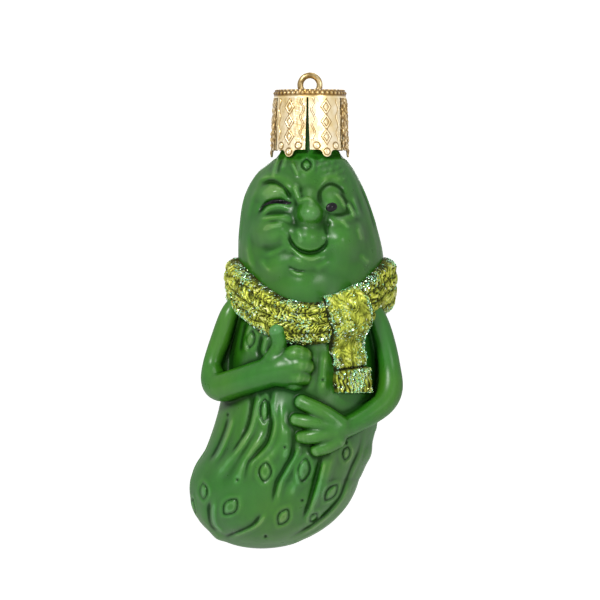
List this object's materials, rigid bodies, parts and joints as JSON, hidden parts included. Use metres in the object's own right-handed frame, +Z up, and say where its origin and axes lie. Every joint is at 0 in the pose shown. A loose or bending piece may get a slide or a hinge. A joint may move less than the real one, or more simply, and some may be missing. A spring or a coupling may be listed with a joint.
{
  "type": "hanging tree ornament",
  "caption": "Blown-glass tree ornament shaped as a pickle figure with a winking face, folded arms and a knitted scarf, under a stamped metal cap with a wire hanging loop.",
  "frame": {"origin": "centre of the hanging loop, where a hook or ribbon holds the ornament", "axes": "+Z up along the figure, -Y towards the viewer whom the face looks at, +X to that viewer's right"},
  "size_m": [0.0483, 0.0392, 0.1084],
  "materials": {
    "green_lacquer": "glossy opaque green lacquer over silvered blown glass",
    "scarf_coat": "yellow-green lacquer over a moulded knit",
    "glitter": "iridescent glitter grains",
    "black_enamel": "glossy black enamel",
    "cap_metal": "bright stamped pale gold sheet",
    "wire_metal": "gold-coloured spring wire"
  },
  "bodies": {
    "hanger": {"hanger_wire": "wire_metal"},
    "cap": {"cap": "cap_metal"},
    "figure": {"glass_body": "green_lacquer", "scarf_wrap": "scarf_coat", "scarf_tail": "scarf_coat", "scarf_glitter": "glitter", "open_eye_enamel": "black_enamel", "wink_enamel": "black_enamel"}
  },
  "joints": [
    {"name": "cap_slide", "type": "slide", "parent": "hanger", "child": "cap", "axis": [0, 0, -1], "range_m": [0, 0.004]},
    {"name": "figure_swivel", "type": "hinge", "parent": "cap", "child": "figure", "pos_m": [0, 0, 0], "axis": [0, 0, 1], "continuous": true}
  ]
}
